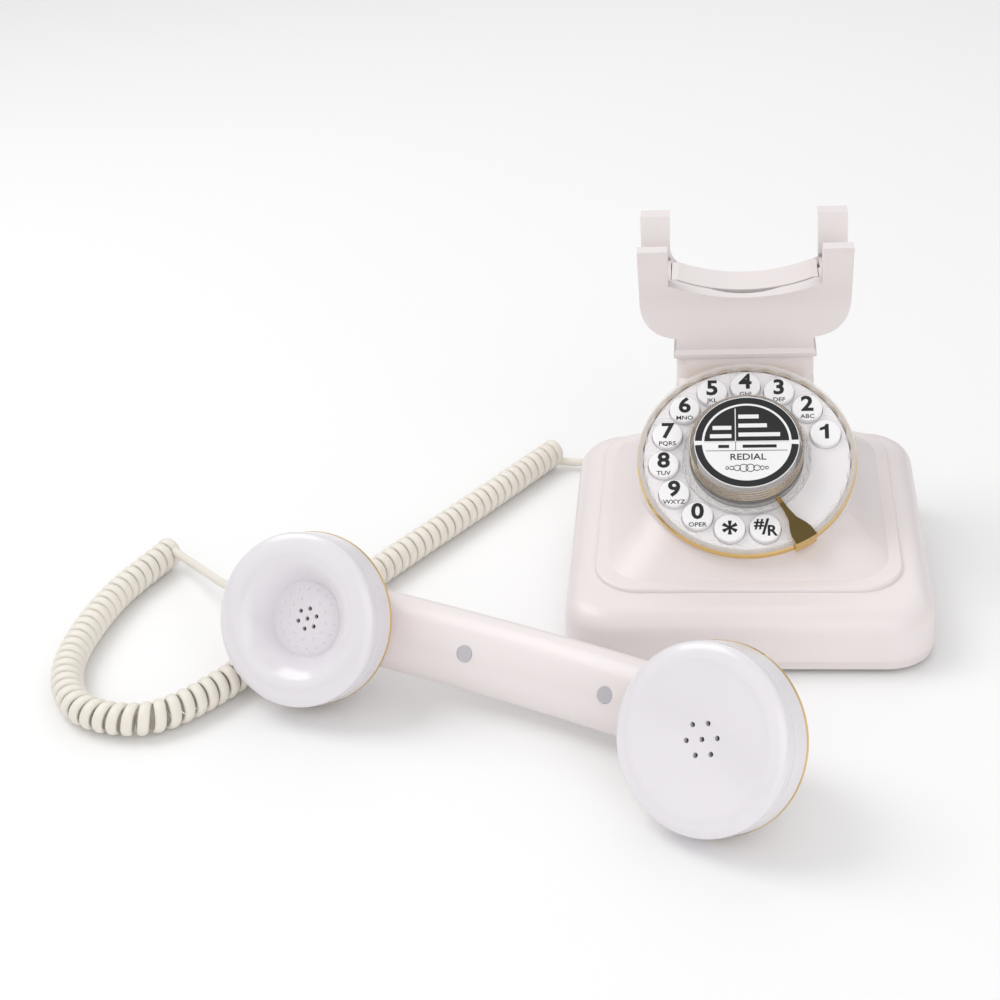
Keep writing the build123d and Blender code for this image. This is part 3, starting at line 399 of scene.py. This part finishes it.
def sweep_tube(rail, section, up=Vector((0, 0, 1)), close_ends=True):
    """Points and faces of a closed section carried along a rail with a steady up direction."""
    points, faces = [], []
    count = len(section)
    for i, p in enumerate(rail):
        ahead = rail[min(i + 1, len(rail) - 1)] - rail[max(i - 1, 0)]
        ahead.normalize()
        side = ahead.cross(up[i] if isinstance(up, list) else up)
        side.normalize()
        top = side.cross(ahead).normalized()
        for u, v in section:
            points.append(p + side * u + top * v)
    for i in range(len(rail) - 1):
        for k in range(count):
            a = i * count + k
            b = i * count + (k + 1) % count
            faces.append((a, b, b + count, a + count))
    if close_ends:
        faces.append(tuple(reversed(range(count))))
        last = (len(rail) - 1) * count
        faces.append(tuple(range(last, last + count)))
    return points, faces


def oval(half_wide, half_high, count):
    """Closed oval section."""
    return [(half_wide * cos(2 * pi * k / count), half_high * sin(2 * pi * k / count)) for k in range(count)]


# --- coiled cord and spring, in millimetres ------------------------------------------------
COIL_RADIUS = 6.1
COIL_PITCH = 5.0
COIL_STEPS = 26
RIBBON_WIDE = 2.15
RIBBON_THICK = 1.25
LEAD_RADIUS = 1.75
SPRING_TURNS = 5
SPRING_STEPS = 28
SPRING_WIRE = 0.4
COIL_HEIGHT = 6.4
COIL_PATH = [Vector((x, y, COIL_HEIGHT)) for x, y in (
    (-84, 106), (-114, 54), (-144, 4), (-176, -53), (-192, -85.5), (-214, -107), (-241, -100), (-254, -70),
    (-251, -24), (-237, 17),
)]
BASE_LEAD = [Vector(p) for p in ((-34, 74, 17), (-35, 88, 14), (-52, 99, 6), (-72, 101, 3.5), (-85, 103, 4))]
HANDSET_LEAD = [Vector(p) for p in ((-236, 15, 8), (-228, 4, 10), (-212, -18, 15), (-200, -38, 22))]


def coil_mesh():
    """The coiled cord's turns on the table, as one ribbon; the leads are built apart."""
    curve = catmull(COIL_PATH, 60)
    fine = even_steps(curve, COIL_PITCH / COIL_STEPS)
    rail, ups = [], []
    for i, p in enumerate(fine):
        ahead = (fine[min(i + 3, len(fine) - 1)] - fine[max(i - 3, 0)]).normalized()
        side = ahead.cross(Vector((0, 0, 1))).normalized()
        top = side.cross(ahead)
        turn = 2 * pi * i / COIL_STEPS
        out = side * cos(turn) + top * sin(turn)
        rail.append((p + out * (COIL_RADIUS - RIBBON_THICK)) * MM)
        ups.append(out)
    section = [(u * MM, v * MM) for u, v in oval(RIBBON_WIDE, RIBBON_THICK, 10)]
    return sweep_tube(rail, section, ups)


def build_spring():
    """Return spring under the saddle, wound inside the box of the CAD spring it replaces."""
    low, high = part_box("hook_spring")
    wire = SPRING_WIRE * MM
    radius = (high.x - low.x) / 2 - wire
    length = high.z - low.z - 2 * wire
    steps = SPRING_TURNS * SPRING_STEPS
    rail = []
    for i in range(steps + 1):
        turn = 2 * pi * i / SPRING_STEPS
        rail.append(Vector((
            (low.x + high.x) / 2 + radius * cos(turn),
            (low.y + high.y) / 2 + radius * sin(turn),
            low.z + wire + length * i / steps,
        )))
    section = [(u * MM, v * MM) for u, v in oval(SPRING_WIRE, SPRING_WIRE, 10)]
    spring = mesh_piece("spring_coil", *sweep_tube(rail, section), steel)
    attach(spring, "base")
    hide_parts("hook_spring")
    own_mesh(spring)


def handset_plug_back():
    """Middle of the plug sleeve's end at the handset's heel."""
    low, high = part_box("handset_plug")
    return Vector((low.x + 0.0022, high.y - 0.0022, (low.z + high.z) / 2))


def build_cord():
    """Coil and both leads, in place of the plain cord."""
    points, faces = coil_mesh()
    cord = mesh_piece("cord_coil", points, faces, cord_vinyl)
    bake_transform(cord)
    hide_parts("coiled_cord")
    section = [(u * MM, v * MM) for u, v in oval(LEAD_RADIUS, LEAD_RADIUS, 16)]
    rail = [p * MM for p in even_steps(catmull(BASE_LEAD, 24), 1.0)]
    lead = mesh_piece("cord_base_lead", *sweep_tube(rail, section), cord_vinyl)
    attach(lead, "base")
    end = handset_plug_back() / MM
    rail = [p * MM for p in even_steps(catmull([*HANDSET_LEAD, end], 24), 1.0)]
    lead = mesh_piece("cord_handset_lead", *sweep_tube(rail, section), cord_vinyl)
    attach(lead, "handset")


# --- printing, in millimetres on the dial ---------------------------------------------------
BUTTON_CIRCLE = 31.3
BUTTON_TOP = 0.9
FIRST_KEY_ANGLE = 72
KEY_STEP = 24
LABEL_TOP = 11.3
PRINT_HALF = 0.03
KEY_INK = BUTTON_TOP + 0.02
LABEL_INK = LABEL_TOP + 0.04
LABEL_OVERPRINT = LABEL_TOP + 0.11
CAPITAL_TO_SIZE = 1.39
LABEL_RING = (16.6, 19.2)
LABEL_HALF = 15.7
BAR_HEIGHT = 1.7
PALE_BARS = ((10.0, -3.0, 4.6), (6.1, -3.0, 7.6), (2.2, -3.0, 12.4), (5.2, -12.6, -5.6), (1.6, -13.6, -5.6))
ORNAMENT_LOOPS = ((1.2, 1.7), (3.6, 1.3), (5.6, 0.9), (7.3, 0.7))
ORNAMENT_LINE = 0.28
ORNAMENT_UP = -11.2
STAR_ARMS = 6
STAR_STROKE = ((0.0, 0.3), (2.9, 0.75), (2.9, -0.75), (0.0, -0.3))
RIDGE_RADIUS = 21.15
RIDGE_HEIGHTS = (4.4, 6.2, 8.0, 9.8)
RIDGE_STEPS = 96


def dial_matrix(across, up, out, angle=0.0):
    """Place on the dial: offsets in millimetres, turned clockwise by an angle."""
    right = Vector((1, 0, 0))
    place = DIAL_CENTRE + (right * across + DIAL_UP * up + DIAL_OUT * out) * MM
    x = right * cos(angle) - DIAL_UP * sin(angle)
    y = right * sin(angle) + DIAL_UP * cos(angle)
    return Matrix((
        (x.x, y.x, DIAL_OUT.x, place.x),
        (x.y, y.y, DIAL_OUT.y, place.y),
        (x.z, y.z, DIAL_OUT.z, place.z),
        (0, 0, 0, 1),
    ))


def text_mesh(words, height, bold, width=1.0):
    """Flat letters of a given capital height, centred on the origin, in millimetres."""
    curve = bpy.data.curves.new("letters", "FONT")
    curve.body = words
    curve.align_x = "CENTER"
    curve.align_y = "CENTER"
    curve.size = height * CAPITAL_TO_SIZE
    curve.offset = bold
    curve.extrude = PRINT_HALF
    curve.resolution_u = 3
    letters = bpy.data.objects.new("letters", curve)
    bpy.context.scene.collection.objects.link(letters)
    bpy.context.view_layer.update()
    mesh = bpy.data.meshes.new_from_object(letters)
    bpy.data.objects.remove(letters)
    mesh.transform(Matrix.Diagonal((width, 1, 1, 1)))
    return mesh


def print_piece(name, parts, material, body):
    """Join printed meshes, each with its place, into one piece on a body."""
    points, faces = [], []
    for mesh, matrix in parts:
        start = len(points)
        for vertex in mesh.vertices:
            points.append(matrix @ (vertex.co * MM))
        for polygon in mesh.polygons:
            faces.append([start + i for i in polygon.vertices])
    piece = mesh_piece(name, points, faces, material, smooth=False)
    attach(piece, body)
    return piece


def flat_shape(outline):
    """Thin plate from an outline in millimetres."""
    mesh = bpy.data.meshes.new("flat")
    count = len(outline)
    points = [(x, y, z) for z in (-PRINT_HALF, PRINT_HALF) for x, y in outline]
    faces = [tuple(range(count - 1, -1, -1)), tuple(range(count, 2 * count))]
    faces += [(k, (k + 1) % count, (k + 1) % count + count, k + count) for k in range(count)]
    mesh.from_pydata(points, [], faces)
    return mesh


def bar(left, low, right, high):
    """Thin printed rectangle."""
    return flat_shape([(left, low), (right, low), (right, high), (left, high)])


def band_shape(inner, outer, start, end, count):
    """Thin curved band between two angles, in degrees from +X."""
    arc = [radians(start + (end - start) * k / count) for k in range(count + 1)]
    outline = [(outer * cos(a), outer * sin(a)) for a in arc]
    outline += [(inner * cos(a), inner * sin(a)) for a in reversed(arc)]
    mesh = bpy.data.meshes.new("band")
    half = len(outline)
    points = [(x, y, z) for z in (-PRINT_HALF, PRINT_HALF) for x, y in outline]
    faces = []
    for k in range(count):
        a, b, c, d = k, k + 1, half - 2 - k, half - 1 - k
        faces.append((d, c, b, a))
        faces.append((a + half, b + half, c + half, d + half))
    faces += [(k, (k + 1) % half, (k + 1) % half + half, k + half) for k in range(half)]
    mesh.from_pydata(points, [], faces)
    return mesh


KEYS = (
    ("1", ""), ("2", "ABC"), ("3", "DEF"), ("4", "GHI"), ("5", "JKL"), ("6", "MNO"),
    ("7", "PQRS"), ("8", "TUV"), ("9", "WXYZ"), ("0", "OPER"), ("star", ""), ("hash", ""),
)
DIGIT_ONE = (
    (-0.25, -3.2), (1.25, -3.2), (1.25, 3.2), (0.25, 3.2),
    (-0.45, 2.2), (-2.1, 1.5), (-2.1, 0.3), (-0.25, 0.9),
)


def star_strokes():
    """Six-armed star drawn as tapered strokes."""
    strokes = []
    for k in range(STAR_ARMS):
        turn = 2 * pi * (k + 0.5) / STAR_ARMS
        c, s = cos(turn), sin(turn)
        strokes.append(flat_shape([(x * c - y * s, x * s + y * c) for x, y in reversed(STAR_STROKE)]))
    return strokes


def key_parts(name, across, up):
    """Printed sign of one button, at its place on the dial."""
    def at(right, higher):
        return dial_matrix(across + right, up + higher, KEY_INK)

    if name == "star":
        return [(stroke, at(0, 0)) for stroke in star_strokes()]
    if name == "hash":
        return [
            (text_mesh("#", 4.2, 0.16), at(-2.3, 1.5)),
            (text_mesh("/", 6.6, 0.16), at(0.1, 0)),
            (text_mesh("R", 4.4, 0.16), at(2.4, -1.5)),
        ]
    if name == "1":
        return [(flat_shape(DIGIT_ONE), at(0, 0.6))]
    return [(text_mesh(name, 6.5, 0.28, 1.05), at(0, 1.4))]


def print_keys():
    """Digits and key letters on the push buttons."""
    for index, (name, letters) in enumerate(KEYS):
        angle = radians(FIRST_KEY_ANGLE - KEY_STEP * index)
        across, up = BUTTON_CIRCLE * sin(angle), BUTTON_CIRCLE * cos(angle)
        parts = key_parts(name, across, up)
        if letters:
            parts.append((text_mesh(letters, 1.8, 0.03, 1.1), dial_matrix(across, up - 4.0, KEY_INK)))
        print_piece("print_" + name, parts, print_ink, "key_" + name)


def print_label():
    """Centre label: black ring and upper half, ruled white lines, a plain word and a small ornament."""
    place = dial_matrix(0, 0, LABEL_INK)
    top = dial_matrix(0, 0, LABEL_OVERPRINT)
    upper = [(LABEL_HALF * cos(radians(a)), LABEL_HALF * sin(radians(a))) for a in range(0, 181, 4)]
    dark = [
        (band_shape(*LABEL_RING, 2, 178, 60), place),
        (band_shape(*LABEL_RING, 184, 356, 60), place),
        (flat_shape(upper), place),
        (text_mesh("REDIAL", 2.7, 0.03, 1.1), dial_matrix(0.4, -6.6, LABEL_INK)),
        (bar(-15.0, -3.9, 15.0, -3.7), place),
        (bar(-4.2, -3.8, -4.0, 0.0), place),
        (bar(-10.5, -2.6, -6.5, -1.3), place),
        (bar(-1.5, -2.6, 11.0, -1.3), place),
    ]
    for side, turned in ((-1, pi), (1, 0)):
        for reach, size in ORNAMENT_LOOPS:
            loop = band_shape(size - ORNAMENT_LINE, size, 0, 330, 26)
            dark.append((loop, dial_matrix(side * reach, ORNAMENT_UP, LABEL_INK, turned)))
    rule = [(bar(-LABEL_HALF, 0.0, LABEL_HALF, 0.3), top)]
    pale = [(bar(left, low, right, low + BAR_HEIGHT), top) for low, left, right in PALE_BARS]
    pale.append((bar(-4.3, 0.0, -3.95, 14.4), top))
    print_piece("label_rule", rule, print_white, "redial")
    print_piece("label_dark", dark, print_ink, "redial")
    print_piece("label_pale", pale, print_white, "redial")


def build_ridges():
    """Turned ridges round the side of the clear hub, drawn as brown metal: the brown is a painted reflection
    of the brown and gold around them.
    """
    section = [(u * MM, v * MM) for u, v in oval(0.28, 0.45, 10)]
    points, faces = [], []
    for out in RIDGE_HEIGHTS:
        rail = []
        for k in range(RIDGE_STEPS + 1):
            turn = 2 * pi * k / RIDGE_STEPS
            around = Vector((1, 0, 0)) * RIDGE_RADIUS * cos(turn) + DIAL_UP * RIDGE_RADIUS * sin(turn)
            rail.append(DIAL_CENTRE + (around + DIAL_OUT * out) * MM)
        start = len(points)
        more_points, more_faces = sweep_tube(rail, section, DIAL_OUT, close_ends=False)
        points += more_points
        faces += [tuple(start + i for i in face) for face in more_faces]
    ridges = mesh_piece("hub_ridges", points, faces, ridge_painted_reflection)
    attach(ridges, "redial")


# ------------------------------------------------------------------------------------------
# studio
# ------------------------------------------------------------------------------------------
LIGHT_TARGET = (-0.08, -0.04, 0.03)
FLOOR_HALF = 30
FLOOR_DROP = 0.0002
WORLD_STRENGTH = 0.74
WORLD_BANDS = (
    (0.0, 0.85), (0.08, 0.80), (0.12, 0.22), (0.19, 0.22),
    (0.26, 1.0), (0.970, 1.0), (0.986, 0.22), (1.0, 0.22),
)
CAMERA_PLACE = Vector((-9.4, -655.8, 379.0)) * MM
CAMERA_PAN, CAMERA_PITCH, CAMERA_ROLL = radians(-7.506), radians(27.308), radians(-3.931)


def area_light(name, place, size, power):
    """Square soft light aimed at the phone and not seen itself."""
    data = bpy.data.lights.new(name, "AREA")
    data.shape = "SQUARE"
    data.size = size
    data.energy = power
    light = bpy.data.objects.new(name, data)
    light.location = place
    light.rotation_euler = (Vector(LIGHT_TARGET) - Vector(place)).to_track_quat("-Z", "Y").to_euler()
    light.visible_camera = False
    bpy.context.scene.collection.objects.link(light)
    return light




def build_stage():
    """Plain pale floor, bright surroundings and soft lights."""
    build_floor()
    build_world()
    area_light("key", (-0.9, 0.15, 1.2), 0.9, 7.0)
    area_light("fill", (0.3, -1.2, 0.55), 1.2, 4.8)
    area_light("back", (0.1, 1.0, 1.1), 1.2, 2.0)


def build_floor():
    """Plain pale floor just under the feet."""
    material, tree, shader = new_material("floor_white")
    tree.links.new(tint(tree, noise(tree, 2.0), (0.93, 0.93, 0.93), 0.004), shader.inputs["Base Color"])
    shader.inputs["Roughness"].default_value = 0.6
    corners = [(x * FLOOR_HALF, y * FLOOR_HALF, 0) for x, y in ((-1, -1), (1, -1), (1, 1), (-1, 1))]
    floor = mesh_piece("floor", corners, [(0, 1, 2, 3)], material)
    floor.location.z = -FLOOR_DROP


def build_world():
    """Surroundings: light and dark bands for the reflections, plain white where the camera sees them."""
    world = bpy.data.worlds.new("studio")
    world.use_nodes = True
    tree = world.node_tree
    background = tree.nodes["Background"]
    coords = tree.nodes.new("ShaderNodeTexCoord")
    split = tree.nodes.new("ShaderNodeSeparateXYZ")
    ramp = tree.nodes.new("ShaderNodeValToRGB")
    tree.links.new(coords.outputs["Generated"], split.inputs["Vector"])
    tree.links.new(split.outputs["Z"], ramp.inputs["Fac"])
    elements = ramp.color_ramp.elements
    for element, (position, level) in zip(elements, (WORLD_BANDS[0], WORLD_BANDS[-1])):
        element.position = position
        element.color = (level, level, level, 1)
    for position, level in WORLD_BANDS[1:-1]:
        elements.new(position).color = (level, level, level, 1)
    tree.links.new(ramp.outputs["Color"], background.inputs["Color"])
    background.inputs["Strength"].default_value = WORLD_STRENGTH
    backdrop = tree.nodes.new("ShaderNodeBackground")
    backdrop.inputs["Color"].default_value = (0.97, 0.97, 0.97, 1)
    path = tree.nodes.new("ShaderNodeLightPath")
    seen = tree.nodes.new("ShaderNodeMixShader")
    tree.links.new(path.outputs["Is Camera Ray"], seen.inputs["Fac"])
    tree.links.new(background.outputs["Background"], seen.inputs[1])
    tree.links.new(backdrop.outputs["Background"], seen.inputs[2])
    tree.links.new(seen.outputs["Shader"], tree.nodes["World Output"].inputs["Surface"])
    bpy.context.scene.world = world


def build_camera():
    """Camera a little over half a metre away, looking down on the phone, slightly rolled."""
    pan, pitch, roll = CAMERA_PAN, CAMERA_PITCH, CAMERA_ROLL
    forward = Vector((sin(pan) * cos(pitch), cos(pan) * cos(pitch), -sin(pitch)))
    right = Vector((cos(pan), -sin(pan), 0))
    up = right.cross(forward)
    x = right * cos(roll) + up * sin(roll)
    y = up * cos(roll) - right * sin(roll)
    data = bpy.data.cameras.new("camera")
    data.sensor_width = 36.0
    data.lens = 68.3
    data.clip_start = 0.01
    camera = bpy.data.objects.new("camera", data)
    camera.matrix_world = Matrix((
        (x.x, y.x, -forward.x, CAMERA_PLACE.x),
        (x.y, y.y, -forward.y, CAMERA_PLACE.y),
        (x.z, y.z, -forward.z, CAMERA_PLACE.z),
        (0, 0, 0, 1),
    ))
    bpy.context.scene.collection.objects.link(camera)
    bpy.context.scene.camera = camera


finish_nodes()
build_cord()
build_spring()
print_keys()
print_label()
build_ridges()
build_stage()
build_camera()
bpy.context.scene.view_settings.view_transform = "Standard"
